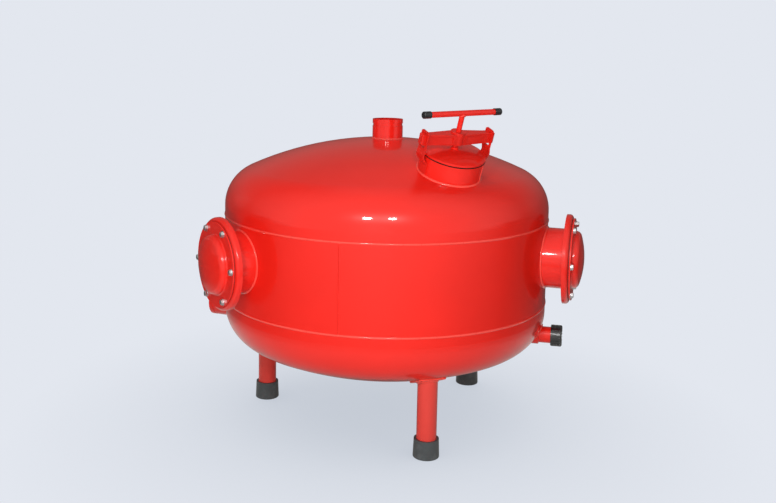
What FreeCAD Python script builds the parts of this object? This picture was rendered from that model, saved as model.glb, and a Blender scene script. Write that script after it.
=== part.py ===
import FreeCAD, Part
import math
import os

V = FreeCAD.Vector

# A pressure filter for sand or gravel. Millimetres; Z is up and the tank's axis is Z.
# An azimuth is counted from the front (-Y) towards the right (+X); a reach is a distance from the tank's axis.

# The tank: a short rolled ring between two dished heads
TANK_OD = 1220.0
PLATE = 5.0
RING_HEIGHT = 310.0
LOWER_SEAM_Z = 467.0
CROWN_R = 1254.0
KNUCKLE_R = 150.5
STRAIGHT_FLANGE = 35.0
BEAD_WIDTH = 9.0
BEAD_HEIGHT = 1.8
LONG_SEAM_AZIMUTH = -14.0
WELD_GAP = 0.2
PIPE_ROOT = 6.0
PAST = 1.0  # how far a cutter or a joined piece runs past a face

# Inlet on the crown and outlet low on the left: pipe ends grooved for couplings
GROOVED_OD = 114.3
GROOVED_WALL = 3.6
LIP_LENGTH = 15.9
GROOVE_WIDTH = 9.5
GROOVE_DEPTH = 2.1
INLET_STAND = 72.0
OUTLET_DROP = 114.5
OUTLET_AZIMUTH = -109.0
OUTLET_STAND = 131.0

# Drain low on the right: boss, pipe, seal and screw cap
DRAIN_DROP = 118.8
DRAIN_AZIMUTH = 78.0
DRAIN_OD = 60.3
DRAIN_WALL = 3.9
DRAIN_STAND = 58.5
DRAIN_BOSS_OD = 72.0
DRAIN_BOSS_INSET = 16.5
DRAIN_BOSS_EDGE = 4.0
SEAL_THICKNESS = 3.0
SEAL_WIDTH = 6.0
CAP_OD = 76.0
CAP_SKIRT = 32.0
CAP_END = 4.0
CAP_RIB_COUNT = 16
CAP_RIB_HEIGHT = 1.6
CAP_RIB_WIDTH = 5.0
THREAD_PLAY = 0.1
FACE_PLAY = 0.2

# Filling port: a neck square to the crown, a lid, and a yoke held by two stirrups
NECK_AZIMUTH = 29.85
NECK_TILT = 19.85
NECK_STAND = 61.0
NECK_OD = 219.1
NECK_WALL = 5.0
LID_GASKET_THICKNESS = 4.0
LID_GASKET_WIDTH = 9.0
LID_GASKET_INSET = 2.0
LID_OD = 222.0
LID_RIM = 8.0
LID_DOME_R = 500.0
LID_PLATE = 5.0
YOKE_LENGTH = 288.0
YOKE_HEIGHT = 37.0
YOKE_END_WIDTH = 26.0
YOKE_END_LENGTH = 42.0
YOKE_WAIST_WIDTH = 46.0
YOKE_CLEARANCE = 45.0
YOKE_FLANGE = 7.0
YOKE_HOLLOW = 7.0
YOKE_HOLLOW_TOE = 5.0
YOKE_CHAMFER = 3.0
YOKE_EDGE_R = 2.0
BOSS_OD = 52.0
BOSS_RISE = 5.0
STIRRUP_PLATE = 5.0
STIRRUP_SPAN = 257.0
STIRRUP_WIDTH = 44.0
STIRRUP_TOP_BAR = 10.0
STIRRUP_CORNER_R = 9.0
STIRRUP_BULGE = 3.5
STIRRUP_BULGE_LEVEL = 10.0
STIRRUP_LOWER_BOW = 4.0
STIRRUP_UPPER_BOW = 1.5
STIRRUP_TUCK = 2.0
STIRRUP_SADDLE_TOP = -18.0
STIRRUP_SADDLE_FOOT = -56.0
WINDOW_SIDE_PLAY = 0.8
WINDOW_TOP_PLAY = 0.3
WINDOW_FOOT_PLAY = 10.0

# Clamp screw with its T-bar, grips, and the seat that its tip turns in
SCREW_OD = 18.0
TIP_NECK_OD = 10.0
TIP_COLLAR = 3.0
SEAT_OD = 27.0
SEAT_TOP = 31.0
KEEPER_THICKNESS = 2.0
BAR_LEVEL = 152.2
BAR_OD = 20.0
BAR_LENGTH = 312.0
BAR_TURN = 2.9
GRIP_OD = 24.0
GRIP_LENGTH = 28.0
GRIP_END = 3.0

# Side ports: necks, flanges with a turned-back rim, and bolted covers with a pressed dome
PORT_RISE = 182.3
PORT_AZIMUTHS = {"left": -56.0, "right": 75.0}
PORT_NECK_OD = 219.1
PORT_NECK_WALL = 5.0
PORT_STAND = 90.0
NECK_SETBACK = 3.0
FLANGE_OD = 325.0
FLANGE_PLATE = 8.0
FLANGE_RIM_DEPTH = 22.0
FLANGE_RIM_R = 12.0
FLANGE_RIM_WALL = 6.0
PORT_GASKET = 3.0
COVER_OD = 298.0
COVER_PLATE = 5.0
COVER_DOME_R = 104.0
COVER_CROWN_R = 300.0
COVER_KNUCKLE_R = 20.0
COVER_DOME_WALL = 3.0
COVER_FILLET = 5.0
BOLT_COUNT = 6
BOLT_CIRCLE = 271.0
BOLT_OD = 12.0
BOLT_HOLE = 14.0
HEAD_FLATS = 18.0
HEAD_HEIGHT = 7.5
HEAD_BEVEL = 1.5
WASHER_OD = 24.0
WASHER_THICKNESS = 2.5
NUT_HEIGHT = 10.0
BOLT_TAIL = 4.0

# Legs: tubes on curved pads, in rubber caps
LEG_INSET = 138.0
LEG_AZIMUTHS = {"front": 19.1, "rear": 131.0, "left": -100.5}
LEG_OD = 70.0
LEG_WALL = 3.0
PAD_SIDE = 90.0
PAD_PLATE = 6.0
FOOT_HEIGHT = 66.5
FOOT_FLOOR = 10.0
FOOT_OD = 92.0
FOOT_TOP_OD = 87.0
FOOT_EDGE = 4.0

# Inside: the plate under the media bed, its ribs and strainers, and the diffuser under the inlet
NOZZLE_PLATE = 8.0
NOZZLE_PITCH = 160.0
NOZZLE_RINGS = 3
NOZZLE_HEAD_OD = 60.0
NOZZLE_SKIRT = 26.0
NOZZLE_CONE = 20.0
NOZZLE_TIP_OD = 28.0
NOZZLE_STEM_OD = 25.0
NOZZLE_STEM = 70.0
NOZZLE_NUT_FLATS = 40.0
NOZZLE_NUT = 10.0
RIB_PLATE = 8.0
RIB_DEPTH = 60.0
RIB_END_ROOM = 15.0
RIB_ROWS = (-1.5, -0.5, 0.5, 1.5)
DIFFUSER_OD = 300.0
DIFFUSER_PLATE = 4.0
DIFFUSER_DROP = 97.0
ROD_OD = 10.0
ROD_CIRCLE = 240.0
ROD_COUNT = 3

# The row's frame has its origin in the middle of the whole box; the tank's axis stands this far to its left
AXIS_OFFSET = 5.734

TANK_R = TANK_OD / 2
UPPER_SEAM_Z = LOWER_SEAM_Z + RING_HEIGHT
HEAD_LEAN = math.asin((TANK_R - KNUCKLE_R) / (CROWN_R - KNUCKLE_R))
CROWN_CENTRE = UPPER_SEAM_Z + STRAIGHT_FLANGE - (CROWN_R - KNUCKLE_R) * math.cos(HEAD_LEAN)
INLET_TOP = CROWN_CENTRE + CROWN_R + INLET_STAND
DIFFUSER_Z = CROWN_CENTRE + CROWN_R - DIFFUSER_DROP
OUTLET_Z, OUTLET_REACH = LOWER_SEAM_Z - OUTLET_DROP, TANK_R + OUTLET_STAND
DRAIN_Z, DRAIN_REACH, DRAIN_BOSS_REACH = LOWER_SEAM_Z - DRAIN_DROP, TANK_R + DRAIN_STAND, TANK_R - DRAIN_BOSS_INSET
PORT_Z, PORT_FACE_REACH = LOWER_SEAM_Z + PORT_RISE, TANK_R + PORT_STAND
LEG_REACH = TANK_R - LEG_INSET
YOKE_TOP = YOKE_CLEARANCE + YOKE_HEIGHT
LID_BASE = LID_GASKET_THICKNESS + FACE_PLAY


def polar(reach, azimuth, z):
    """Point at a distance from the tank's axis, on an azimuth."""
    a = math.radians(azimuth)
    return V(reach * math.sin(a), -reach * math.cos(a), z)


def outward(azimuth, z):
    """Place whose Z points out from the tank's axis and whose Y points up."""
    a = math.radians(azimuth)
    across = V(math.cos(a), math.sin(a), 0)
    out = V(math.sin(a), -math.cos(a), 0)
    return FreeCAD.Placement(V(0, 0, z), FreeCAD.Rotation(across, V(0, 0, 1), out, "ZXY"))


def neck_place():
    """Place at the filling neck's mouth: Z along the neck, X along the yoke."""
    a, tilt = math.radians(NECK_AZIMUTH), math.radians(NECK_TILT)
    across = V(math.cos(a), math.sin(a), 0)
    up = V(math.sin(tilt) * math.sin(a), -math.sin(tilt) * math.cos(a), math.cos(tilt))
    mouth = V(0, 0, CROWN_CENTRE) + up * (CROWN_R + NECK_STAND)
    return FreeCAD.Placement(mouth, FreeCAD.Rotation(across, up.cross(across), up, "ZXY"))


def placed(shape, place):
    """The shape moved from its own frame into the tank's."""
    moved = shape.copy()
    moved.Placement = place.multiply(moved.Placement)
    return moved


def profile(marks):
    """Face in the X-Z plane; a mark that says "through" bends the line into an arc."""
    spots = [V(m[0], 0, m[1]) for m in marks]
    edges, i = [], 0
    while i < len(marks):
        ahead, beyond = (i + 1) % len(marks), (i + 2) % len(marks)
        if len(marks[ahead]) == 3:
            edges.append(Part.Arc(spots[i], spots[ahead], spots[beyond]).toShape())
            i += 2
        else:
            edges.append(Part.LineSegment(spots[i], spots[ahead]).toShape())
            i += 1
    return Part.Face(Part.Wire(edges))


def spun(*marks):
    """Solid turned about Z from marks of radius and height."""
    return profile(marks).revolve(V(0, 0, 0), V(0, 0, 1), 360)


def tube(outer_d, inner_d, low, high):
    """Plain tube about Z."""
    return spun((inner_d / 2, low), (outer_d / 2, low), (outer_d / 2, high), (inner_d / 2, high))


def rod(diameter, low, high):
    """Plain round bar about Z."""
    return Part.makeCylinder(diameter / 2, high - low, V(0, 0, low))


def round_corner(corner, radius, start, end):
    """Two marks that round a square corner between two directions, from start to end."""
    sx, sz, ex, ez = start[0], start[1], end[0], end[1]
    cx, cz = corner[0] + radius * (sx + ex), corner[1] + radius * (sz + ez)
    bend = radius * math.sqrt(0.5)
    return [(corner[0] + radius * sx, corner[1] + radius * sz),
            (cx - bend * (sx + ex), cz - bend * (sz + ez), "through"),
            (corner[0] + radius * ex, corner[1] + radius * ez)]


def around(shape, count, radius, first=0.0):
    """Copies of a shape on a circle about Z."""
    copies = []
    for i in range(count):
        angle = math.radians(first + 360.0 * i / count)
        copy = shape.copy()
        copy.translate(V(radius * math.cos(angle), radius * math.sin(angle), 0))
        copies.append(copy)
    return Part.makeCompound(copies)


def hexagon(flats, height, hole_d=0.0, bevel=0.0):
    """Hexagonal head or nut standing on Z = 0, its corners turned off by a bevel."""
    corner_r = flats / math.sqrt(3)
    ring = [V(corner_r * math.cos(math.radians(60 * i)), corner_r * math.sin(math.radians(60 * i)), 0)
            for i in range(7)]
    body = Part.Face(Part.makePolygon(ring)).extrude(V(0, 0, height))
    if bevel:
        body = body.common(spun((0, 0), (corner_r, 0), (corner_r, height - bevel),
                                (flats / 2 - bevel, height), (0, height)))
    return body.cut(rod(hole_d, -PAST, height + PAST)) if hole_d else body


def dished_marks(radius, crown_r, knuckle_r, flange, inset):
    """Marks of a dished form from its edge to its crown, inset from the outer face."""
    lean = math.asin((radius - knuckle_r) / (crown_r - knuckle_r))
    knuckle = (radius - knuckle_r, flange)
    centre_z = flange - (crown_r - knuckle_r) * math.cos(lean)
    turn_r, dome_r = knuckle_r - inset, crown_r - inset
    half_turn = (math.pi / 2 + lean) / 2
    return [(radius - inset, 0), (radius - inset, flange),
            (knuckle[0] + turn_r * math.sin(half_turn), knuckle[1] + turn_r * math.cos(half_turn), "through"),
            (knuckle[0] + turn_r * math.sin(lean), knuckle[1] + turn_r * math.cos(lean)),
            (dome_r * math.sin(lean / 2), centre_z + dome_r * math.cos(lean / 2), "through"),
            (0, centre_z + dome_r)]


def head_marks(inset):
    """Marks of a tank head, from its seam upwards."""
    return dished_marks(TANK_R, CROWN_R, KNUCKLE_R, STRAIGHT_FLANGE, inset)


def tank_solid(inset):
    """Closed solid of the whole tank, its faces moved inwards by the inset."""
    upper = [(m[0], UPPER_SEAM_Z + m[1], *m[2:]) for m in head_marks(inset)[1:]]
    lower = [(m[0], LOWER_SEAM_Z - m[1], *m[2:]) for m in head_marks(inset)[1:]]
    return spun(*(list(reversed(lower)) + upper))


def bead_marks():
    """Half of a weld bead, from its crest at the seam to the plate beside it."""
    return [(TANK_R + BEAD_HEIGHT, 0), (TANK_R + BEAD_HEIGHT * 0.75, BEAD_WIDTH * 0.3, "through"),
            (TANK_R, BEAD_WIDTH / 2)]


def head_shell():
    """A head with half of its girth bead, from the seam up."""
    return spun(*(bead_marks() + head_marks(0)[1:] + list(reversed(head_marks(PLATE)))))


def pipe_holes():
    """The openings that the pipes and necks need in the tank's wall."""
    mouth = neck_place()
    grooved = GROOVED_OD + 2 * WELD_GAP
    side = PORT_NECK_OD + 2 * WELD_GAP
    holes = [rod(grooved, UPPER_SEAM_Z, INLET_TOP + TANK_R),
             placed(rod(NECK_OD + 2 * WELD_GAP, -2 * NECK_STAND, NECK_STAND), mouth),
             placed(rod(grooved, TANK_R / 2, OUTLET_REACH), outward(OUTLET_AZIMUTH, OUTLET_Z)),
             placed(rod(DRAIN_BOSS_OD + 2 * WELD_GAP, TANK_R / 2, DRAIN_REACH), outward(DRAIN_AZIMUTH, DRAIN_Z))]
    for azimuth in PORT_AZIMUTHS.values():
        holes.append(placed(rod(side, TANK_R / 2, PORT_FACE_REACH), outward(azimuth, PORT_Z)))
    return holes


def shell_ring():
    """Rolled ring: half beads at both seams and a bead along its own weld."""
    low = bead_marks()
    high = [(m[0], RING_HEIGHT - m[1], *m[2:]) for m in reversed(low)]
    inner_r = TANK_R - PLATE
    ring = spun(*([(inner_r, 0)] + low + high + [(inner_r, RING_HEIGHT)]))
    half = BEAD_WIDTH / 2
    crest = V(0, -TANK_R - BEAD_HEIGHT, BEAD_WIDTH / 2)
    left, right = V(-half, -TANK_R + PAST, BEAD_WIDTH / 2), V(half, -TANK_R + PAST, BEAD_WIDTH / 2)
    lens = Part.Wire([Part.Arc(left, crest, right).toShape(), Part.LineSegment(right, left).toShape()])
    bead = Part.Face(lens).extrude(V(0, 0, RING_HEIGHT - BEAD_WIDTH))
    bead.rotate(V(0, 0, 0), V(0, 0, 1), LONG_SEAM_AZIMUTH)
    ring = ring.fuse(bead)
    ring.translate(V(0, 0, LOWER_SEAM_Z))
    return ring.cut(pipe_holes())


def top_head():
    """Head with the holes for the inlet and the filling neck."""
    head = head_shell()
    head.translate(V(0, 0, UPPER_SEAM_Z))
    return head.cut(pipe_holes())


def bottom_head():
    """Head with the holes for the outlet and the drain."""
    head = head_shell()
    head.rotate(V(0, 0, 0), V(1, 0, 0), 180)
    head.translate(V(0, 0, LOWER_SEAM_Z))
    return head.cut(pipe_holes())


def inner_trim():
    """What cuts a pipe off a little inside the tank's wall."""
    return tank_solid(PLATE + PIPE_ROOT)


def grooved_pipe(start, mouth):
    """Pipe about Z with a coupling groove behind its lip."""
    inner_r, outer_r = GROOVED_OD / 2 - GROOVED_WALL, GROOVED_OD / 2
    groove_r = outer_r - GROOVE_DEPTH
    groove_high = mouth - LIP_LENGTH
    groove_low = groove_high - GROOVE_WIDTH
    return spun((inner_r, start), (outer_r, start), (outer_r, groove_low), (groove_r, groove_low),
                (groove_r, groove_high), (outer_r, groove_high), (outer_r, mouth), (inner_r, mouth))


def inlet_pipe():
    return grooved_pipe(UPPER_SEAM_Z, INLET_TOP).cut(inner_trim())


def outlet_pipe():
    pipe = grooved_pipe(TANK_R / 2, OUTLET_REACH)
    return placed(pipe, outward(OUTLET_AZIMUTH, OUTLET_Z)).cut(inner_trim())


def drain_pipe():
    """Plain pipe screwed into the boss; the cap goes over its far end."""
    pipe = tube(DRAIN_OD, DRAIN_OD - 2 * DRAIN_WALL, TANK_R / 2, DRAIN_REACH)
    return placed(pipe, outward(DRAIN_AZIMUTH, DRAIN_Z)).cut(inner_trim())


def drain_boss():
    """Half coupling welded into the knuckle, its outer edge rounded."""
    bore_r, outer_r = DRAIN_OD / 2 + WELD_GAP, DRAIN_BOSS_OD / 2
    edge = round_corner((outer_r, DRAIN_BOSS_REACH), DRAIN_BOSS_EDGE, (0, -1), (-1, 0))
    boss = spun((bore_r, TANK_R / 2), (outer_r, TANK_R / 2), *edge, (bore_r, DRAIN_BOSS_REACH))
    return placed(boss, outward(DRAIN_AZIMUTH, DRAIN_Z)).cut(inner_trim())


def drain_seal():
    """Rubber ring on the drain pipe's mouth."""
    low = DRAIN_REACH + FACE_PLAY
    seal = tube(DRAIN_OD, DRAIN_OD - 2 * SEAL_WIDTH, low, low + SEAL_THICKNESS)
    return placed(seal, outward(DRAIN_AZIMUTH, DRAIN_Z))


def drain_cap():
    """Cap with a ribbed skirt, screwed over the drain pipe."""
    wall_low = DRAIN_REACH + FACE_PLAY + SEAL_THICKNESS + THREAD_PLAY
    skirt_low, top = DRAIN_REACH - CAP_SKIRT, wall_low + CAP_END
    bore_r, outer_r = DRAIN_OD / 2 + THREAD_PLAY, CAP_OD / 2
    edge = round_corner((outer_r, top), CAP_END, (0, -1), (-1, 0))
    cap = spun((bore_r, skirt_low), (outer_r, skirt_low), *edge, (0, top), (0, wall_low), (bore_r, wall_low))
    rib = Part.makeBox(2 * CAP_RIB_HEIGHT, CAP_RIB_WIDTH, top - skirt_low - 2 * CAP_END,
                       V(outer_r - CAP_RIB_HEIGHT, -CAP_RIB_WIDTH / 2, skirt_low + CAP_END / 2))
    ribs = []
    for i in range(CAP_RIB_COUNT):
        copy = rib.copy()
        copy.rotate(V(0, 0, 0), V(0, 0, 1), 360.0 * i / CAP_RIB_COUNT)
        ribs.append(copy)
    return placed(cap.fuse(ribs).removeSplitter(), outward(DRAIN_AZIMUTH, DRAIN_Z))


def filling_neck():
    neck = tube(NECK_OD, NECK_OD - 2 * NECK_WALL, -2 * NECK_STAND, 0)
    return placed(neck, neck_place()).cut(inner_trim())


def stirrup(side):
    """Bent plate with a window for the yoke's end, on a saddle that hugs the neck; side is -1 or 1."""
    outer_x, inner_x = STIRRUP_SPAN / 2 + STIRRUP_PLATE / 2, STIRRUP_SPAN / 2 - STIRRUP_PLATE / 2
    saddle_in = NECK_OD / 2 + WELD_GAP
    saddle_out = saddle_in + STIRRUP_PLATE
    top = YOKE_TOP + WINDOW_TOP_PLAY + STIRRUP_TOP_BAR
    bulge_in, bulge_out = inner_x + STIRRUP_BULGE, outer_x + STIRRUP_BULGE
    straight_z = YOKE_CLEARANCE - WINDOW_FOOT_PLAY - STIRRUP_TOP_BAR
    below_z = (STIRRUP_SADDLE_TOP + STIRRUP_BULGE_LEVEL) / 2
    above_z = (STIRRUP_BULGE_LEVEL + straight_z) / 2
    strip = profile([(saddle_in - STIRRUP_TUCK, STIRRUP_SADDLE_TOP - STIRRUP_PLATE),
                     (saddle_out - STIRRUP_TUCK / 2, STIRRUP_SADDLE_TOP - STIRRUP_PLATE),
                     (bulge_out - STIRRUP_LOWER_BOW, below_z, "through"), (bulge_out, STIRRUP_BULGE_LEVEL),
                     (bulge_out - STIRRUP_UPPER_BOW, above_z, "through"),
                     (outer_x, straight_z), (outer_x, top), (inner_x, top), (inner_x, straight_z),
                     (bulge_in - STIRRUP_UPPER_BOW, above_z, "through"),
                     (bulge_in, STIRRUP_BULGE_LEVEL), (bulge_in - STIRRUP_LOWER_BOW, below_z + STIRRUP_TUCK, "through"),
                     (saddle_in - STIRRUP_TUCK, STIRRUP_SADDLE_TOP)])
    plate = strip.extrude(V(0, STIRRUP_WIDTH, 0))
    plate.translate(V(0, -STIRRUP_WIDTH / 2, 0))
    upright = Part.makeBox(TANK_R, STIRRUP_WIDTH, top - STIRRUP_SADDLE_FOOT,
                           V(0, -STIRRUP_WIDTH / 2, STIRRUP_SADDLE_FOOT))
    corners = [e for e in upright.Edges if abs(e.CenterOfMass.z - top) < 0.01
               and abs(abs(e.CenterOfMass.y) - STIRRUP_WIDTH / 2) < 0.01]
    upright = upright.makeFillet(STIRRUP_CORNER_R, corners)
    saddle = tube(2 * saddle_out, 2 * saddle_in, STIRRUP_SADDLE_FOOT, STIRRUP_SADDLE_TOP)
    saddle = saddle.common(upright)
    window = Part.makeBox(TANK_R, YOKE_END_WIDTH + 2 * WINDOW_SIDE_PLAY,
                          YOKE_HEIGHT + WINDOW_FOOT_PLAY + WINDOW_TOP_PLAY,
                          V(saddle_out, -YOKE_END_WIDTH / 2 - WINDOW_SIDE_PLAY, YOKE_CLEARANCE - WINDOW_FOOT_PLAY))
    neck = rod(2 * saddle_in, STIRRUP_SADDLE_FOOT - PAST, top)
    piece = plate.common(upright).fuse(saddle).cut([window, neck]).removeSplitter()
    if side < 0:
        piece.rotate(V(0, 0, 0), V(0, 0, 1), 180)
    return placed(piece, neck_place())


def hollow_cutter(way, side, near_x, far_x):
    """Wedge that hollows one side of one yoke arm under its top flange, fading out towards the arm's end."""
    top_z = YOKE_HEIGHT - YOKE_FLANGE
    rims = []
    for x, depth in ((near_x, YOKE_HOLLOW), (far_x, PAST / 2)):
        y = arm_half_width(x)
        ring = [V(way * x, side * (y - depth), top_z), V(way * x, side * (y + PAST), top_z),
                V(way * x, side * (y + PAST), YOKE_HOLLOW_TOE), V(way * x, side * y, YOKE_HOLLOW_TOE)]
        rims.append(Part.makePolygon(ring + ring[:1]))
    return Part.makeLoft(rims, True, True)


def arm_half_width(x):
    """Half of the yoke's width at a distance from its middle: the arms narrow evenly from the boss to their ends."""
    waist_x, arm_x = BOSS_OD / 4, YOKE_LENGTH / 2 - YOKE_END_LENGTH
    share = (x - waist_x) / (arm_x - waist_x)
    return (YOKE_WAIST_WIDTH + (YOKE_END_WIDTH - YOKE_WAIST_WIDTH) * share) / 2


def yoke():
    """Cast bar: parallel ends, arms that widen to a central boss, and hollows in the sides under a top flange."""
    end_x, end_y = YOKE_LENGTH / 2, YOKE_END_WIDTH / 2
    arm_x, waist_y = end_x - YOKE_END_LENGTH, YOKE_WAIST_WIDTH / 2
    waist_x = BOSS_OD / 4
    outline = [V(x, y, 0) for x, y in
               ((end_x, -end_y), (end_x, end_y), (arm_x, end_y), (waist_x, waist_y), (-waist_x, waist_y),
                (-arm_x, end_y), (-end_x, end_y), (-end_x, -end_y), (-arm_x, -end_y), (-waist_x, -waist_y),
                (waist_x, -waist_y), (arm_x, -end_y), (end_x, -end_y))]
    body = Part.Face(Part.makePolygon(outline)).extrude(V(0, 0, YOKE_HEIGHT))
    tips = [e for e in body.Edges if abs(abs(e.CenterOfMass.x) - end_x) < 0.01]
    body = body.makeChamfer(YOKE_CHAMFER, tips)
    rims = [e for e in body.Edges if abs(e.CenterOfMass.z - YOKE_HEIGHT) < 0.01]
    body = body.makeFillet(YOKE_EDGE_R, rims)
    near_x = BOSS_OD / 2 + YOKE_EDGE_R
    body = body.cut([hollow_cutter(way, side, near_x, arm_x) for way in (1, -1) for side in (1, -1)])
    boss = rod(BOSS_OD, 0, YOKE_HEIGHT + BOSS_RISE)
    crest = [e for e in boss.Edges if abs(e.CenterOfMass.z - YOKE_HEIGHT - BOSS_RISE) < 0.01]
    boss = boss.makeFillet(YOKE_EDGE_R, crest)
    bore = rod(SCREW_OD + 2 * THREAD_PLAY, -PAST, 2 * YOKE_HEIGHT)
    piece = body.fuse(boss).cut(bore).removeSplitter()
    piece.translate(V(0, 0, YOKE_CLEARANCE))
    return placed(piece, neck_place())


def tip_levels():
    """Heights of the screw's tip: its end, the top of its collar and the keeper's top."""
    collar_top = SEAT_TOP - KEEPER_THICKNESS - THREAD_PLAY
    return collar_top - TIP_COLLAR, collar_top, SEAT_TOP + FACE_PLAY


def clamp_screw():
    """Screw whose necked tip turns in the lid's seat; its top is welded under the T-bar."""
    end, collar_top, neck_top = tip_levels()
    screw_r, neck_r = SCREW_OD / 2, TIP_NECK_OD / 2
    screw = spun((0, end), (screw_r, end), (screw_r, collar_top), (neck_r, collar_top), (neck_r, neck_top),
                 (screw_r, neck_top), (screw_r, BAR_LEVEL), (0, BAR_LEVEL))
    return placed(screw.cut(handle_rod(BAR_OD + 2 * WELD_GAP, BAR_LENGTH)), neck_place())


def handle_rod(diameter, length):
    """Bar across the screw at the T-bar's level."""
    bar = rod(diameter, -length / 2, length / 2)
    bar.rotate(V(0, 0, 0), V(0, 1, 0), 90)
    bar.translate(V(0, 0, BAR_LEVEL))
    bar.rotate(V(0, 0, 0), V(0, 0, 1), BAR_TURN)
    return bar


def handle_bar():
    return placed(handle_rod(BAR_OD, BAR_LENGTH), neck_place())


def handle_grips():
    """Two moulded caps pushed over the bar's ends, their outer edges rounded."""
    outer_r, bore_r = GRIP_OD / 2, BAR_OD / 2 + WELD_GAP
    top = BAR_LENGTH / 2 + GRIP_END
    edge = round_corner((outer_r, top), GRIP_END, (0, -1), (-1, 0))
    grip = spun((bore_r, top - GRIP_LENGTH), (outer_r, top - GRIP_LENGTH), *edge, (0, top),
                (0, BAR_LENGTH / 2), (bore_r, BAR_LENGTH / 2))
    grips = []
    for turn in (90, -90):
        copy = grip.copy()
        copy.rotate(V(0, 0, 0), V(0, 1, 0), turn)
        copy.translate(V(0, 0, BAR_LEVEL))
        copy.rotate(V(0, 0, 0), V(0, 0, 1), BAR_TURN)
        grips.append(copy)
    return placed(Part.makeCompound(grips), neck_place())


def lid_solid(hollow=True):
    """Shallow domed lid with a turned-down rim, before it is placed."""
    outer_r = LID_OD / 2
    inner_r = outer_r - LID_PLATE
    rim_top = LID_BASE + LID_RIM
    rise = LID_DOME_R - math.sqrt(LID_DOME_R ** 2 - outer_r ** 2)
    centre_z = rim_top + rise - LID_DOME_R
    half = outer_r / 2
    outer = [(outer_r, LID_BASE), (outer_r, rim_top),
             (half, centre_z + math.sqrt(LID_DOME_R ** 2 - half ** 2), "through"), (0, centre_z + LID_DOME_R)]
    if not hollow:
        return spun((0, LID_BASE), *outer)
    inner_dome, inner_half = LID_DOME_R - LID_PLATE, inner_r / 2
    return spun((inner_r, LID_BASE), *outer, (0, centre_z + inner_dome),
                (inner_half, centre_z + math.sqrt(inner_dome ** 2 - inner_half ** 2), "through"),
                (inner_r, centre_z + math.sqrt(inner_dome ** 2 - inner_r ** 2)))


def filling_lid():
    return placed(lid_solid(), neck_place())


def lid_gasket():
    """Flat rubber ring under the lid's rim."""
    outer_d = LID_OD - 2 * LID_GASKET_INSET
    ring = tube(outer_d, outer_d - 2 * LID_GASKET_WIDTH, FACE_PLAY, LID_BASE)
    return placed(ring, neck_place())


def screw_seat():
    """Round seat welded on the lid's dome, bored for the screw's tip."""
    end, collar_top, neck_top = tip_levels()
    pocket_r = SCREW_OD / 2 + THREAD_PLAY
    floor_z = end - THREAD_PLAY
    keeper_low = SEAT_TOP - KEEPER_THICKNESS
    seat = spun((0, LID_BASE), (SEAT_OD / 2, LID_BASE), (SEAT_OD / 2, keeper_low), (pocket_r, keeper_low),
                (pocket_r, floor_z), (0, floor_z))
    return placed(seat.cut(lid_solid(hollow=False)), neck_place())


def keeper_ring():
    """Ring on the seat that keeps the screw's collar in it."""
    ring = tube(SEAT_OD, TIP_NECK_OD + 2 * THREAD_PLAY, SEAT_TOP - KEEPER_THICKNESS, SEAT_TOP)
    return placed(ring, neck_place())


def port_neck(azimuth):
    neck = tube(PORT_NECK_OD, PORT_NECK_OD - 2 * PORT_NECK_WALL, TANK_R / 2, PORT_FACE_REACH - NECK_SETBACK)
    return placed(neck, outward(azimuth, PORT_Z)).cut(inner_trim())


def bolt_holes(low, high):
    return around(rod(BOLT_HOLE, low, high), BOLT_COUNT, BOLT_CIRCLE / 2)


def port_flange(azimuth):
    """Flange plate whose outer edge turns back towards the tank."""
    bore_r, outer_r, face = PORT_NECK_OD / 2 + WELD_GAP, FLANGE_OD / 2, PORT_FACE_REACH
    back, rim_low, rim_in = face - FLANGE_PLATE, face - FLANGE_RIM_DEPTH, outer_r - FLANGE_RIM_WALL
    outer_edge = round_corner((outer_r, face), FLANGE_RIM_R, (-1, 0), (0, -1))
    inner_edge = round_corner((rim_in, back), FLANGE_RIM_R - FLANGE_RIM_WALL, (0, -1), (-1, 0))
    flange = spun((bore_r, back), (bore_r, face), *outer_edge, (outer_r, rim_low), (rim_in, rim_low), *inner_edge)
    return placed(flange.cut(bolt_holes(back - PAST, face + PAST)), outward(azimuth, PORT_Z))


def port_gasket(azimuth):
    low = PORT_FACE_REACH
    gasket = tube(COVER_OD - PORT_GASKET, PORT_NECK_OD, low, low + PORT_GASKET)
    return placed(gasket.cut(bolt_holes(low - PAST, low + PORT_GASKET + PAST)), outward(azimuth, PORT_Z))


def port_cover(azimuth):
    """Cover plate with a dome pressed out of its middle."""
    low = PORT_FACE_REACH + PORT_GASKET
    top = low + COVER_PLATE
    outer = dished_marks(COVER_DOME_R, COVER_CROWN_R, COVER_KNUCKLE_R, COVER_FILLET, 0)[1:]
    inner = dished_marks(COVER_DOME_R, COVER_CROWN_R, COVER_KNUCKLE_R, COVER_FILLET, COVER_DOME_WALL)[1:]
    blend = round_corner((COVER_DOME_R, 0), COVER_FILLET, (1, 0), (0, 1))[:2]
    marks = [(COVER_DOME_R - COVER_DOME_WALL, low), (COVER_OD / 2, low), (COVER_OD / 2, top)]
    marks += [(m[0], top + m[1], *m[2:]) for m in blend + outer]
    marks += [(m[0], top + m[1], *m[2:]) for m in reversed(inner)]
    return placed(spun(*marks).cut(bolt_holes(low - PAST, top + PAST)), outward(azimuth, PORT_Z))


def cover_bolts(azimuth):
    """Hexagon bolts: heads over the washers, tails past the nuts."""
    seat = PORT_FACE_REACH + PORT_GASKET + COVER_PLATE + WASHER_THICKNESS
    tail = PORT_FACE_REACH - FLANGE_PLATE - NUT_HEIGHT - BOLT_TAIL
    head = hexagon(HEAD_FLATS, HEAD_HEIGHT, bevel=HEAD_BEVEL)
    head.translate(V(0, 0, seat))
    bolt = head.fuse(rod(BOLT_OD, tail, seat)).removeSplitter()
    return placed(around(bolt, BOLT_COUNT, BOLT_CIRCLE / 2), outward(azimuth, PORT_Z))


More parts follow.
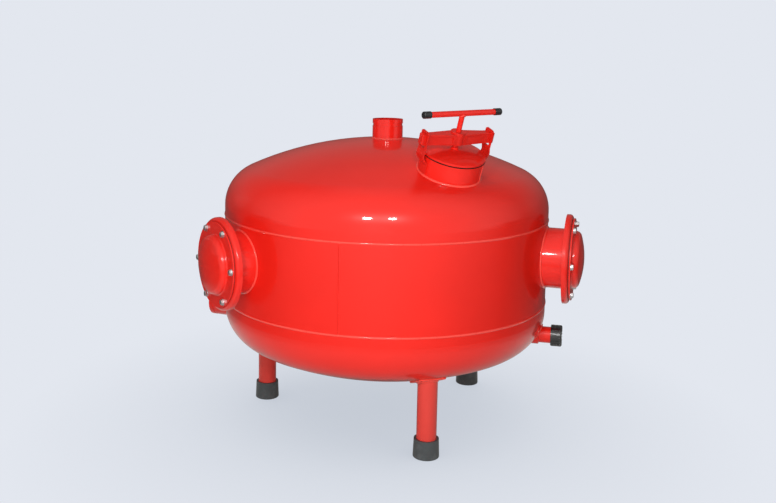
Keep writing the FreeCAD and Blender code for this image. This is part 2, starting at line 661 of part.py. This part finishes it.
def cover_washers(azimuth):
    low = PORT_FACE_REACH + PORT_GASKET + COVER_PLATE
    washer = tube(WASHER_OD, BOLT_OD + 2 * FACE_PLAY, low, low + WASHER_THICKNESS)
    return placed(around(washer, BOLT_COUNT, BOLT_CIRCLE / 2), outward(azimuth, PORT_Z))


def cover_nuts(azimuth):
    """Hexagon nuts behind the flange plate, inside its turned-back rim."""
    nut = hexagon(HEAD_FLATS, NUT_HEIGHT, hole_d=BOLT_OD + 2 * FACE_PLAY)
    nut.translate(V(0, 0, PORT_FACE_REACH - FLANGE_PLATE - NUT_HEIGHT))
    return placed(around(nut, BOLT_COUNT, BOLT_CIRCLE / 2), outward(azimuth, PORT_Z))


def leg_spot(azimuth):
    """Place on the floor under a leg, turned so that X runs across the tank's radius."""
    return FreeCAD.Placement(polar(LEG_REACH, azimuth, 0), FreeCAD.Rotation(V(0, 0, 1), azimuth))


def leg_tube(azimuth):
    leg = tube(LEG_OD, LEG_OD - 2 * LEG_WALL, FOOT_FLOOR, LOWER_SEAM_Z)
    return placed(leg, leg_spot(azimuth)).cut(tank_solid(-PAD_PLATE - 2 * WELD_GAP))


def leg_pad(azimuth):
    """Square pad curved to the head, welded between it and the leg."""
    block = Part.makeBox(PAD_SIDE, PAD_SIDE, LOWER_SEAM_Z, V(-PAD_SIDE / 2, -PAD_SIDE / 2, FOOT_HEIGHT))
    layer = tank_solid(-PAD_PLATE - WELD_GAP).cut(tank_solid(-WELD_GAP))
    below = Part.makeBox(2 * TANK_OD, 2 * TANK_OD, LOWER_SEAM_Z, V(-TANK_OD, -TANK_OD, 0))
    return placed(block, leg_spot(azimuth)).common(layer).common(below).cut(pipe_holes())


def foot_cap(azimuth):
    """Rubber cap, slightly wider at its foot, that the leg stands in."""
    bore_r = LEG_OD / 2 + WELD_GAP
    edge = round_corner((FOOT_OD / 2, 0), FOOT_EDGE, (-1, 0), (0, 1))
    cap = spun((0, 0), *edge, (FOOT_TOP_OD / 2, FOOT_HEIGHT), (bore_r, FOOT_HEIGHT), (bore_r, FOOT_FLOOR),
               (0, FOOT_FLOOR))
    return placed(cap, leg_spot(azimuth))


def nozzle_spots():
    """Hexagonal field of strainer places, as many rings as fit about the centre."""
    spots = []
    for row in range(-NOZZLE_RINGS, NOZZLE_RINGS + 1):
        across = 2 * NOZZLE_RINGS + 1 - abs(row)
        for i in range(across):
            spots.append(V((i - (across - 1) / 2) * NOZZLE_PITCH, row * NOZZLE_PITCH * math.sqrt(0.75), 0))
    return spots


def at_nozzles(shape):
    copies = []
    for spot in nozzle_spots():
        copy = shape.copy()
        copy.translate(spot)
        copies.append(copy)
    return Part.makeCompound(copies)


def nozzle_plate():
    """Round plate across the lower seam, drilled for the strainers."""
    low = LOWER_SEAM_Z - NOZZLE_PLATE / 2
    plate = rod(TANK_OD - 2 * PLATE - 2 * WELD_GAP, low, low + NOZZLE_PLATE)
    return plate.cut(at_nozzles(rod(NOZZLE_STEM_OD + 2 * FACE_PLAY, low - PAST, low + NOZZLE_PLATE + PAST)))


def plate_ribs():
    """Flat bars on edge under the plate, between the rows of strainers."""
    high = LOWER_SEAM_Z - NOZZLE_PLATE / 2
    room = tank_solid(PLATE + RIB_END_ROOM)
    bars = []
    for row in RIB_ROWS:
        y = row * NOZZLE_PITCH * math.sqrt(0.75)
        bar = Part.makeBox(TANK_OD, RIB_PLATE, RIB_DEPTH, V(-TANK_R, y - RIB_PLATE / 2, high - RIB_DEPTH))
        bars.append(bar.common(room))
    return Part.makeCompound(bars)


def filter_nozzles():
    """Mushroom strainers, each with its stem through the plate."""
    top = LOWER_SEAM_Z + NOZZLE_PLATE / 2
    foot = LOWER_SEAM_Z - NOZZLE_PLATE / 2 - NOZZLE_STEM
    stem_r, head_r = NOZZLE_STEM_OD / 2, NOZZLE_HEAD_OD / 2
    nozzle = spun((0, foot), (stem_r, foot), (stem_r, top), (head_r, top), (head_r, top + NOZZLE_SKIRT),
                  (NOZZLE_TIP_OD / 2, top + NOZZLE_SKIRT + NOZZLE_CONE), (0, top + NOZZLE_SKIRT + NOZZLE_CONE))
    return at_nozzles(nozzle)


def nozzle_nuts():
    nut = hexagon(NOZZLE_NUT_FLATS, NOZZLE_NUT, hole_d=NOZZLE_STEM_OD + 2 * FACE_PLAY)
    nut.translate(V(0, 0, LOWER_SEAM_Z - NOZZLE_PLATE / 2 - NOZZLE_NUT))
    return at_nozzles(nut)


def diffuser_plate():
    """Round plate that spreads the jet from the inlet."""
    return rod(DIFFUSER_OD, DIFFUSER_Z, DIFFUSER_Z + DIFFUSER_PLATE)


def diffuser_rods():
    """Hanger rods from the plate up to the crown."""
    room = tank_solid(PLATE + WELD_GAP)
    hanger = rod(ROD_OD, DIFFUSER_Z + DIFFUSER_PLATE, INLET_TOP)
    return around(hanger, ROD_COUNT, ROD_CIRCLE / 2, first=30).common(room)


def build():
    """All pieces by name."""
    pieces = {
        "shell_ring": shell_ring(), "top_head": top_head(), "bottom_head": bottom_head(),
        "inlet_pipe": inlet_pipe(), "outlet_pipe": outlet_pipe(),
        "drain_pipe": drain_pipe(), "drain_boss": drain_boss(), "drain_seal": drain_seal(),
        "drain_cap": drain_cap(),
        "filling_neck": filling_neck(), "left_stirrup": stirrup(-1), "right_stirrup": stirrup(1),
        "yoke": yoke(), "clamp_screw": clamp_screw(), "handle_bar": handle_bar(),
        "handle_grips": handle_grips(), "filling_lid": filling_lid(), "lid_gasket": lid_gasket(),
        "screw_seat": screw_seat(), "keeper_ring": keeper_ring(),
        "nozzle_plate": nozzle_plate(), "plate_ribs": plate_ribs(),
        "filter_nozzles": filter_nozzles(), "nozzle_nuts": nozzle_nuts(),
        "diffuser_plate": diffuser_plate(), "diffuser_rods": diffuser_rods(),
    }
    for side, azimuth in PORT_AZIMUTHS.items():
        pieces[side + "_port_neck"] = port_neck(azimuth)
        pieces[side + "_port_flange"] = port_flange(azimuth)
        pieces[side + "_port_gasket"] = port_gasket(azimuth)
        pieces[side + "_port_cover"] = port_cover(azimuth)
        pieces[side + "_cover_bolts"] = cover_bolts(azimuth)
        pieces[side + "_cover_washers"] = cover_washers(azimuth)
        pieces[side + "_cover_nuts"] = cover_nuts(azimuth)
    for side, azimuth in LEG_AZIMUTHS.items():
        pieces[side + "_leg"] = leg_tube(azimuth)
        pieces[side + "_leg_pad"] = leg_pad(azimuth)
        pieces[side + "_foot_cap"] = foot_cap(azimuth)
    return pieces


os.makedirs("parts", exist_ok=True)
for name, shape in build().items():
    shape.translate(V(-AXIS_OFFSET, 0, 0))
    shape.exportStep("parts/" + name + ".step")
    print(name, len(shape.Solids), "solids", round(shape.Volume), "mm3", "valid" if shape.isValid() else "INVALID")
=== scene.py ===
"""A red media filter tank: finishes, weld beads, camera and studio around its CAD frame."""
import math

import bpy
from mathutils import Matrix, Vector


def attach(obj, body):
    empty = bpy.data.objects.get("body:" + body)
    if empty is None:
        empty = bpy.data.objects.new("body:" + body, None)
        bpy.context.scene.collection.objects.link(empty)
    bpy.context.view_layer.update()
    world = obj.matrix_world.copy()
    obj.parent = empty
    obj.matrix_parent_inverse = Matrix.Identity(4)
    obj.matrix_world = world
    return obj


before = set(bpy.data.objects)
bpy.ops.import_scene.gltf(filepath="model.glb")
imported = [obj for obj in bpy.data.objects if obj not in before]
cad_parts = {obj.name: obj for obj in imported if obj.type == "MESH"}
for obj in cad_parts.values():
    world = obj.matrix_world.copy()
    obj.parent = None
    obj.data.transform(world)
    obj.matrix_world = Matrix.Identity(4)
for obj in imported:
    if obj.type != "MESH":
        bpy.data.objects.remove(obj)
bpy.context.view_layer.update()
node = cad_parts

# Camera: just under standing eye height, in front of the tank's middle, looking slightly down at it.
# The lens and shift suit a frame of 776 by 503; a small shift keeps the legs nearly upright, as in the
# photograph.
lens = bpy.data.cameras.new("camera")
lens.sensor_width = 36.0
lens.lens = 44.3434
lens.shift_x = 0.0401
lens.shift_y = -0.1
camera = bpy.data.objects.new("camera", lens)
camera.location = (-0.00573, -3.60891, 1.40032)
camera.rotation_euler = [math.radians(turn) for turn in (82.455, -0.8837, 1.9221)]
bpy.context.scene.collection.objects.link(camera)
bpy.context.scene.camera = camera
bpy.context.scene.view_settings.view_transform = "Standard"


# Studio: a pale floor that melts into a pale backdrop, lit by two soft boxes, four fills and a dim sky.
# The camera sees floor and backdrop in one colour, with a painted shadow that darkens it under the tank.
# For mirrored rays the floor glows, a painted reflection, bright in a ring round the tank and far in front
# of it; the paint mirrors the sky bright on the camera's side.
def srgb(red, green, blue):
    """A colour written as 0 to 255, as the shaders want it."""
    channel = [c / 255 for c in (red, green, blue)]
    return [c / 12.92 if c <= 0.04045 else ((c + 0.055) / 1.055) ** 2.4 for c in channel] + [1.0]


class Sock:
    """A shader socket that takes part in Python expressions."""

    def __init__(self, tree, socket):
        self.tree, self.socket = tree, socket

    def node(self, kind, settings=None, out=0, **values):
        """A new node's output; its settings come first, then its sockets' values or links.

        A socket goes by its name, or by i and its number where several have one name.
        """
        made = self.tree.nodes.new(kind)
        for key, setting in (settings or {}).items():
            setattr(made, key, setting)
        for key, value in values.items():
            socket = made.inputs[int(key[1:]) if key[1:].isdigit() else key.replace("_", " ")]
            if isinstance(value, Sock):
                self.tree.links.new(value.socket, socket)
            else:
                socket.default_value = value
        return Sock(self.tree, made.outputs[out])

    def maths(self, operation, first, second):
        return self.node("ShaderNodeMath", {"operation": operation}, i0=first, i1=second)

    def __add__(self, other):
        return self.maths("ADD", self, other)

    def __sub__(self, other):
        return self.maths("SUBTRACT", self, other)

    def __rsub__(self, other):
        return self.maths("SUBTRACT", other, self)

    def __mul__(self, other):
        return self.maths("MULTIPLY", self, other)

    __radd__, __rmul__ = __add__, __mul__

    def span(self, low, high):
        """0 at low, 1 at high, and clamped outside them."""
        return self.node("ShaderNodeMapRange", i0=self, i1=low, i2=high)

    def mix(self, first, second):
        """Colour between two, by this factor; sockets 6, 7 and 2 are the Mix node's colours."""
        return self.node("ShaderNodeMix", {"data_type": "RGBA"}, out=2, i0=self, i6=first, i7=second)

    def blend(self, first, second):
        """Shader between two, by this factor."""
        return self.node("ShaderNodeMixShader", i0=self, i1=first, i2=second)

    def noise(self, scale, detail, rough=0.5):
        return self.node("ShaderNodeTexNoise", Vector=self, Scale=scale, Detail=detail, Roughness=rough)

    def bump(self, distance, strength, before=None):
        """Surface normal from this height, on top of an earlier bump if one is given."""
        earlier = {"Normal": before} if before else {}
        return self.node("ShaderNodeBump", Height=self, Distance=distance, Strength=strength, **earlier)


def fresh_nodes(owner, end_kind):
    """A start for the nodes of a material or world, and a call that closes them with a shader."""
    owner.use_nodes = True
    tree = owner.node_tree
    tree.nodes.clear()

    def close(shader):
        end = tree.nodes.new(end_kind)
        tree.links.new(shader.socket, end.inputs["Surface"])
        return owner

    return Sock(tree, None), close


PAPER, PAINTED_SHADOW = srgb(227, 231, 239), srgb(197, 203, 213)
FLOOR_SIZE, FLOOR_LEVEL = 60, -0.0005
RAYS = ("Is Camera Ray", "Is Glossy Ray")

bpy.ops.object.select_all(action="DESELECT")
bpy.ops.mesh.primitive_plane_add(size=FLOOR_SIZE, location=(0, 0, FLOOR_LEVEL))
floor = bpy.context.object
floor.name = "studio_floor"

start, close = fresh_nodes(bpy.data.materials.new("studio_paper"), "ShaderNodeOutputMaterial")
seen, mirrored = (start.node("ShaderNodeLightPath", out=ray) for ray in RAYS)
# Painted shadow: the paper's colour darkens where ambient occlusion finds the tank close above it.
openness = start.node("ShaderNodeAmbientOcclusion", {"samples": 16}, out="AO", Distance=0.9)
paper_with_painted_shadow = openness.span(0.25, 1.0).mix(PAINTED_SHADOW, PAPER)
paper = start.node("ShaderNodeEmission", Color=paper_with_painted_shadow, Strength=1.0)
matt = start.node("ShaderNodeBsdfDiffuse", Color=(0.56, 0.55, 0.50, 1))
# Painted reflection: for mirrored rays the floor glows, in a ring that brightens up to 0.9 m
# from the tank's axis and fades out from 1.2 to 1.9 m, and far in front of the tank.
spot = start.node("ShaderNodeTexCoord", out="Object")
forward = spot.node("ShaderNodeSeparateXYZ", out="Y", Vector=spot) * -1.0
reach = spot.node("ShaderNodeVectorMath", {"operation": "LENGTH"}, out="Value", i0=spot)
ring = (reach.span(0.0, 0.9) - reach.span(1.2, 1.9)) * 0.6
painted_reflection_card = (forward.span(0.5, 4.5) + ring).mix((0.09, 0.088, 0.084, 1), (1.0, 0.98, 0.94, 1))
mirror = start.node("ShaderNodeEmission", Color=painted_reflection_card, Strength=1.0)
floor.data.materials.append(close(seen.blend(mirrored.blend(matt, mirror), paper)))

start, close = fresh_nodes(bpy.data.worlds.new("studio"), "ShaderNodeOutputWorld")
seen, mirrored = (start.node("ShaderNodeLightPath", out=ray) for ray in RAYS)
paper = start.node("ShaderNodeBackground", Color=PAPER, Strength=1.0)
sky = start.node("ShaderNodeBackground", Color=(0.97, 0.94, 0.86, 1), Strength=0.18)
way = start.node("ShaderNodeTexCoord", out="Generated")
depth, height = (way.node("ShaderNodeSeparateXYZ", out=axis, Vector=way) for axis in ("Y", "Z"))
haze = height.span(0.0, 0.3).mix((0.10, 0.097, 0.09, 1), (0.21, 0.203, 0.19, 1))
glow = (depth * -1.0).span(-0.35, 0.35).mix(haze, (1.0, 0.98, 0.93, 1))
mirror = start.node("ShaderNodeBackground", Color=glow, Strength=1.0)
bpy.context.scene.world = close(seen.blend(mirrored.blend(sky, mirror), paper))


def soft_box(name, place, target, size, power, mirrored=True):
    """Area lamp turned to face a point; one that isn't mirrored leaves no patch of its own on the paint."""
    lamp = bpy.data.lights.new(name, "AREA")
    lamp.shape, lamp.energy = "ELLIPSE", power
    lamp.size, lamp.size_y = size
    box = bpy.data.objects.new(name, lamp)
    aim = Vector(target) - Vector(place)
    box.location = place
    box.rotation_euler = aim.to_track_quat("-Z", "Y").to_euler()
    box.visible_glossy = mirrored
    bpy.context.scene.collection.objects.link(box)


soft_box("key_left", (-0.70, -3.3, 2.2), (0, 0, 0.7), (0.34, 0.34), 30.5)
soft_box("key_right", (0.26, -3.3, 2.2), (0, 0, 0.7), (0.34, 0.34), 30.5)
soft_box("front_fill", (-0.35, -3.4, 0.75), (0, 0, 0.5), (1.4, 0.9), 50, mirrored=False)
soft_box("overhead", (-0.2, 0.8, 4.2), (0, 0, 0.6), (2.6, 2.6), 58, mirrored=False)
soft_box("left_fill", (-3.2, 1.5, 1.3), (-0.5, 0, 0.65), (1.2, 1.2), 28, mirrored=False)
soft_box("right_fill", (3.2, 1.5, 1.3), (0.5, 0, 0.75), (1.2, 1.2), 19, mirrored=False)


# Red paint: baked enamel over welded steel plate.
# It is glossy, with a fine orange peel and a slow waviness where the plate was pulled by welding.
# The clamp's yoke and stirrups are a little duller, and the legs a less glossy red whose paler colour is a
# painted sheen.
def new_material(name):
    """A material's place on the piece (Object coordinates), and a call that closes it with a shader."""
    start, close = fresh_nodes(bpy.data.materials.new(name), "ShaderNodeOutputMaterial")
    return start.node("ShaderNodeTexCoord", out="Object"), close


def enamel(name, colour, coat=0.6, peel=0.00006):
    """Sprayed and baked paint: a drift in its hue, a little dust, waves in the plate and orange peel."""
    place, close = new_material(name)
    drift = place.noise(scale=3.1, detail=3.0).span(0.3, 0.7)
    hue = drift.mix([c * 0.93 for c in colour[:3]] + [1], colour)
    dust = place.noise(scale=160.0, detail=4.0, rough=0.62).span(0.55, 0.8)
    waves = place.noise(scale=4.5, detail=1.0).bump(0.0006, strength=0.6)
    normal = place.noise(scale=420.0, detail=2.0).bump(peel, strength=0.5, before=waves)
    return close(place.node("ShaderNodeBsdfPrincipled", Base_Color=hue, Roughness=0.3 + 0.08 * dust,
                            Normal=normal, Specular_IOR_Level=0.15, Coat_Weight=coat,
                            Coat_Roughness=0.04, IOR=1.5))


def paint(names, material):
    """Gives the CAD nodes' own meshes a finish, in place of the one they came with."""
    for name in names:
        mesh = node[name].data
        mesh.materials.clear()
        mesh.materials.append(material)


tank_parts = ["shell_ring", "top_head", "bottom_head", "inlet_pipe", "outlet_pipe", "drain_pipe",
              "drain_boss", "filling_neck", "nozzle_plate", "plate_ribs", "diffuser_plate", "diffuser_rods"]
lid_parts = ["clamp_screw", "handle_bar", "filling_lid", "screw_seat", "keeper_ring"]
port_parts = [side + part for side in ("left", "right")
              for part in ("_port_neck", "_port_flange", "_port_cover")]
leg_parts = [side + part for side in ("front", "rear", "left") for part in ("_leg", "_leg_pad")]
paint(tank_parts + lid_parts + port_parts, enamel("red_enamel", srgb(224, 32, 22)))
paint(["yoke", "left_stirrup", "right_stirrup"],
      enamel("clamp_enamel", srgb(206, 30, 21), coat=0.45, peel=0.00012))
# The legs' paler red is a painted sheen on them.
paint(leg_parts, enamel("leg_enamel_painted_sheen", srgb(208, 62, 54), coat=0.3))


# Fillet welds where pipes, necks and the drain boss leave the tank: weld metal under red paint.
# Each run follows the line where its pipe meets the plate, with the small ripples of a hand-held torch.
# The beads' paint is glossier than the tank's, and lighter: a painted highlight for the thin lines of
# light that the beads catch.
weld_paint_painted_highlight = enamel("weld_enamel_painted_highlight", srgb(238, 66, 54), coat=1.0)
UP = Vector((0, 0, 1))

# The tank's outside in metres: its axis, its radii, the heads' straight rim and the seams' heights.
# LEAN is the crown's half angle where the knuckle starts, and CROWN_DROP sets its centre below the seam.
AXIS_X = -0.005734
TANK_R, CROWN_R, KNUCKLE_R, STRAIGHT = 0.61, 1.254, 0.1505, 0.035
LOWER_SEAM, UPPER_SEAM = 0.467, 0.777
LEAN = math.asin((TANK_R - KNUCKLE_R) / (CROWN_R - KNUCKLE_R))
CROWN_DROP = (CROWN_R - KNUCKLE_R) * math.cos(LEAN) - STRAIGHT

# What is welded on: outer radii, azimuths in degrees and heights.
NECK_R, PIPE_R, BOSS_R = 0.10955, 0.05715, 0.036
NECK_AZIMUTH, NECK_TILT, NECK_LENGTH = 29.85, math.radians(19.85), 0.061
PORTS, PORT_LEVEL = {"left": -56, "right": 75}, 0.6493
OUTLET, OUTLET_LEVEL = -109, 0.3525
DRAIN, DRAIN_LEVEL = 78, 0.3482

# The beads' radii, and the halved search from outside the tank that finds where each run lies.
PIPE_BEAD, NECK_BEAD, RIPPLE_STEP = 0.0045, 0.005, 0.0032
ABOVE_CROWN, SEARCH, HALVINGS = 1.13, 0.5, 26


def clear_of_tank(point):
    """How far a point stands off the tank's outside; it is negative inside."""
    reach = math.hypot(point[0] - AXIS_X, point[1])
    height = max(point[2] - UPPER_SEAM, LOWER_SEAM - point[2], 0.0)
    if height <= STRAIGHT:
        return reach - TANK_R
    if reach < (height + CROWN_DROP) * math.tan(LEAN):
        return math.hypot(reach, height + CROWN_DROP) - CROWN_R
    return math.hypot(reach - TANK_R + KNUCKLE_R, height - STRAIGHT) - KNUCKLE_R


def outward(azimuth):
    """Direction away from the tank's axis; azimuth 0 is the front and 90 the right."""
    turn = math.radians(azimuth)
    return Vector((math.sin(turn), -math.cos(turn), 0))


def at(azimuth, reach, level):
    """The point at an azimuth, a distance from the tank's axis and a height."""
    return Vector((AXIS_X, 0, level)) + outward(azimuth) * reach


def down_to_plate(start, way, off=0.0):
    """The place along a direction where the plate is reached, or is still this far off."""
    low, high = 0.0, SEARCH
    for _ in range(HALVINGS):
        middle = (low + high) / 2
        low, high = (middle, high) if clear_of_tank(start + way * middle) > off else (low, middle)
    return start + way * low


def circle(centre, first, second, radius, count):
    """Points round a centre, starting in the first of two directions square to each other."""
    turns = (2 * math.pi * i / count for i in range(count))
    return [centre + radius * (math.cos(turn) * first + math.sin(turn) * second) for turn in turns]


def bead(name, lines, size, body="tank", closed=True, finish=weld_paint_painted_highlight, ripple=1.0):
    """A round bead of this radius along one or more lines, its thickness rippled finely and slowly."""
    curve = bpy.data.curves.new(name, "CURVE")
    curve.dimensions = "3D"
    curve.bevel_depth, curve.bevel_resolution = size, 3
    curve.use_fill_caps = True
    for line in lines:
        spline = curve.splines.new("POLY")
        spline.points.add(len(line) - 1)
        for i, place in enumerate(line):
            fine, slow = 0.07 * math.sin(i * 2.1), 0.05 * math.sin(i * 0.37)
            spline.points[i].co = (*place, 1)
            spline.points[i].radius = 1 + ripple * (fine + slow)
        spline.use_cyclic_u = closed
    run = bpy.data.objects.new(name, curve)
    bpy.context.scene.collection.objects.link(run)
    bpy.ops.object.select_all(action="DESELECT")
    run.select_set(True)
    bpy.context.view_layer.objects.active = run
    bpy.ops.object.convert(target="MESH")
    run = bpy.context.object
    bpy.ops.object.shade_smooth()
    run.data.materials.append(finish)
    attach(run, body)


def pipe_weld(name, mouth, inward, radius, size, off=0.0):
    """The bead round a pipe that comes out of the tank, from a point on its axis outside."""
    side = inward.orthogonal().normalized()
    rim = circle(mouth, side, inward.cross(side), radius, round(2 * math.pi * radius / RIPPLE_STEP))
    bead(name, [[down_to_plate(place, inward, off) for place in rim]], size)


neck_way = outward(NECK_AZIMUTH) * math.sin(NECK_TILT) + UP * math.cos(NECK_TILT)
neck_mouth = at(0, 0, UPPER_SEAM - CROWN_DROP) + neck_way * (CROWN_R + NECK_LENGTH)
pipe_weld("inlet_weld", at(0, 0, ABOVE_CROWN), -UP, PIPE_R, PIPE_BEAD)
pipe_weld("filling_neck_weld", neck_mouth, -neck_way, NECK_R, NECK_BEAD)
for name, azimuth, reach, level, radius in (
        ("left_port_weld", PORTS["left"], 0.69, PORT_LEVEL, NECK_R),
        ("right_port_weld", PORTS["right"], 0.69, PORT_LEVEL, NECK_R),
        ("outlet_weld", OUTLET, 0.72, OUTLET_LEVEL, PIPE_R),
        ("drain_boss_weld", DRAIN, 0.66, DRAIN_LEVEL, BOSS_R)):
    pipe_weld(name, at(azimuth, reach, level), -outward(azimuth), radius, PIPE_BEAD)


# Leg welds: each tube is welded to its curved pad, and the pad all round to the bottom head.
# The pads are squares of plate dished to the head, so their welds follow the head's curve.
LEGS, LEG_CIRCLE, LEG_R = {"front": 19.1, "rear": 131, "left": -100.5}, 0.472, 0.035
PAD, PAD_THICK, PAD_WELD_OFF, LEG_BEAD = 0.09, 0.006, 0.002, 0.004


def straight(start, end, count):
    """The points of a straight line of this many steps."""
    return [start.lerp(end, i / count) for i in range(count + 1)]


for side, azimuth in LEGS.items():
    foot = at(azimuth, LEG_CIRCLE, 0)
    pipe_weld(side + "_leg_weld", foot, UP, LEG_R, LEG_BEAD, off=PAD_THICK)
    out, across = outward(azimuth) * PAD / 2, outward(azimuth + 90) * PAD / 2
    corners = [foot + out - across, foot + out + across, foot - out + across, foot - out - across]
    edge = []
    for corner, following in zip(corners, corners[1:] + corners[:1]):
        edge += straight(corner, following, count=24)[:-1]
    bead(side + "_pad_weld", [[down_to_plate(place, UP, PAD_WELD_OFF) for place in edge]], LEG_BEAD)


# Flange welds: each port's flange plate is slipped over its neck and welded to it behind the plate.
# The run lies in the corner between the neck and the back of the flange.
FLANGE_BACK, FLANGE_BEAD = 0.692, 0.004
for side, azimuth in PORTS.items():
    ring = circle(at(azimuth, FLANGE_BACK, PORT_LEVEL), outward(azimuth).cross(UP), UP, NECK_R, count=200)
    bead(side + "_flange_weld", [ring], FLANGE_BEAD)


# Shell seams: the rolled ring is butt welded to both heads and closed by one upright weld.
# The ring beads stand about two millimetres proud of the plate, and the upright one a little less.
SEAM_BEAD, RING_SINK, UPRIGHT_SINK, UPRIGHT_AZIMUTH = 0.0045, 0.0022, 0.0030, -14
# Like every bead here, the seams wear the lighter weld paint, a painted highlight.
for name, level in (("lower_seam", LOWER_SEAM), ("upper_seam", UPPER_SEAM)):
    ring = circle(at(0, 0, level), outward(0), outward(90), TANK_R - RING_SINK, count=960)
    bead(name, [ring], SEAM_BEAD, ripple=0.25)
lower, upper = (at(UPRIGHT_AZIMUTH, TANK_R - UPRIGHT_SINK, level) for level in (LOWER_SEAM, UPPER_SEAM))
bead("long_seam", [straight(lower, upper, count=90)], SEAM_BEAD, closed=False)


# Neck seam and handle weld: the neck is rolled from plate and closed with one straight weld.
# The T-bar is welded round the top of the clamp screw, so a fillet fills the corner under it.
NECK_SEAM_R, NECK_SEAM_TURN, NECK_SEAM_BEAD = 0.1096, -52, 0.0022
BAR_LIFT, BAR_TURN, BAR_R = 0.1522, 2.9, 0.0102
SADDLE_R, SADDLE_BEAD = 0.0095, 0.0028
ORIGIN = Vector((0, 0, 0))
neck_across = outward(NECK_AZIMUTH + 90)
neck_back = neck_way.cross(neck_across)


def round_neck(degrees):
    """Direction square to the neck's axis, turned this far from the line that the yoke slides along."""
    turn = math.radians(degrees)
    return neck_across * math.cos(turn) + neck_back * math.sin(turn)


seam_top = neck_mouth + round_neck(NECK_SEAM_TURN) * NECK_SEAM_R
seam_foot = down_to_plate(seam_top, -neck_way)
seam_start = seam_top.lerp(seam_foot, 0.03)
bead("neck_seam", [straight(seam_start, seam_foot, count=30)], NECK_SEAM_BEAD, closed=False)

bar_way = round_neck(BAR_TURN)
bar_side = neck_way.cross(bar_way)
saddle = []
for spoke in circle(ORIGIN, bar_way, bar_side, SADDLE_R, count=60):
    drop = math.sqrt(BAR_R ** 2 - spoke.dot(bar_side) ** 2)
    saddle.append(neck_mouth + neck_way * (BAR_LIFT - drop) + spoke)
bead("handle_weld", [saddle], SADDLE_BEAD, body="screw")


# Rubber and plastic: dark grey foot caps, black gasket and seal, black drain cap, grips and strainers.
# They are moulded, a little scuffed, with a fine grain. The covers' gaskets went under the spray gun
# with the tank, so they are red too.
def moulded(name, colour, rough, grain, shine=0.5):
    """A moulded skin: paler and rougher where it is scuffed."""
    place, close = new_material(name)
    scuff = place.noise(scale=38.0, detail=5.0, rough=0.6).span(0.5, 0.75)
    hue = scuff.mix(colour, [c * 1.5 + 0.01 for c in colour[:3]] + [1])
    normal = place.noise(scale=900.0, detail=2.0).bump(grain, strength=0.6)
    return close(place.node("ShaderNodeBsdfPrincipled", Base_Color=hue, Roughness=rough + 0.12 * scuff,
                            Specular_IOR_Level=shine, Normal=normal))


rubber = moulded("black_rubber", srgb(14, 14, 14), 0.75, 0.00006, shine=0.12)
cap_plastic = moulded("glossy_black_plastic", srgb(26, 27, 29), 0.2, 0.00004, shine=0.8)
paint(["front_foot_cap", "rear_foot_cap", "left_foot_cap"],
      moulded("foot_rubber", srgb(64, 68, 70), 0.38, 0.00008))
paint(["lid_gasket", "drain_seal"], rubber)
paint(["left_port_gasket", "right_port_gasket"],
      moulded("oversprayed_rubber", srgb(112, 20, 16), 0.6, 0.00006))
paint(["handle_grips"], moulded("black_plastic", srgb(26, 27, 29), 0.3, 0.00005))
paint(["drain_cap"], cap_plastic)
paint(["filter_nozzles", "nozzle_nuts"], moulded("strainer_plastic", srgb(34, 34, 36), 0.5, 0.00005))


# Gasket lip: the lid squeezes its rubber ring, which swells out between the lid's rim and the neck.
# It is a smooth bead that goes with the lid.
LIP_R, LIP_LIFT, LIP_BEAD = 0.1089, 0.003, 0.0028
lip = circle(neck_mouth + neck_way * LIP_LIFT, neck_across, neck_back, LIP_R, count=240)
bead("gasket_lip", [lip], LIP_BEAD, body="lid", finish=rubber, ripple=0.0)


# Cap ribs: the drain cap's sixteen grip ribs have a round crest that turns over the edge of its end.
# Each lies on a rib of the cap's skirt, and they turn with the cap.
RIB_COUNT, RIB_BEAD = 16, 0.0019
SKIRT_REACHES, SKIRT_R = (0.6385, 0.655, 0.6705), 0.0379
EDGE = ((0.6732, 0.0377), (0.6752, 0.0362), (0.6760, 0.034), (0.6760, 0.030), (0.6756, 0.026))
crest = [(reach, SKIRT_R) for reach in SKIRT_REACHES] + list(EDGE)
ribs = [[at(DRAIN, reach, DRAIN_LEVEL) + spoke * radius for reach, radius in crest]
        for spoke in circle(ORIGIN, outward(DRAIN + 90), UP, 1.0, RIB_COUNT)]
bead("cap_grip_ribs", ribs, RIB_BEAD, body="drain_cap", closed=False, finish=cap_plastic,
     ripple=0.0)


# Cover bolts, washers and nuts: bright zinc-plated steel.
# The plating is a little milky, in clouds that are paler and less shiny.
def plated(name):
    """Zinc plating, paler and rougher in its clouds."""
    place, close = new_material(name)
    cloud = place.noise(scale=90.0, detail=4.0, rough=0.6).span(0.35, 0.7)
    hue = cloud.mix((0.56, 0.57, 0.58, 1), (0.75, 0.76, 0.78, 1))
    normal = place.noise(scale=700.0, detail=2.0).bump(0.00004, strength=0.5)
    return close(place.node("ShaderNodeBsdfPrincipled", Base_Color=hue, Metallic=1.0,
                            Roughness=0.28 + 0.14 * cloud, Normal=normal))


bolt_parts = [side + part for side in ("left", "right")
              for part in ("_cover_bolts", "_cover_washers", "_cover_nuts")]
paint(bolt_parts, plated("bright_zinc"))
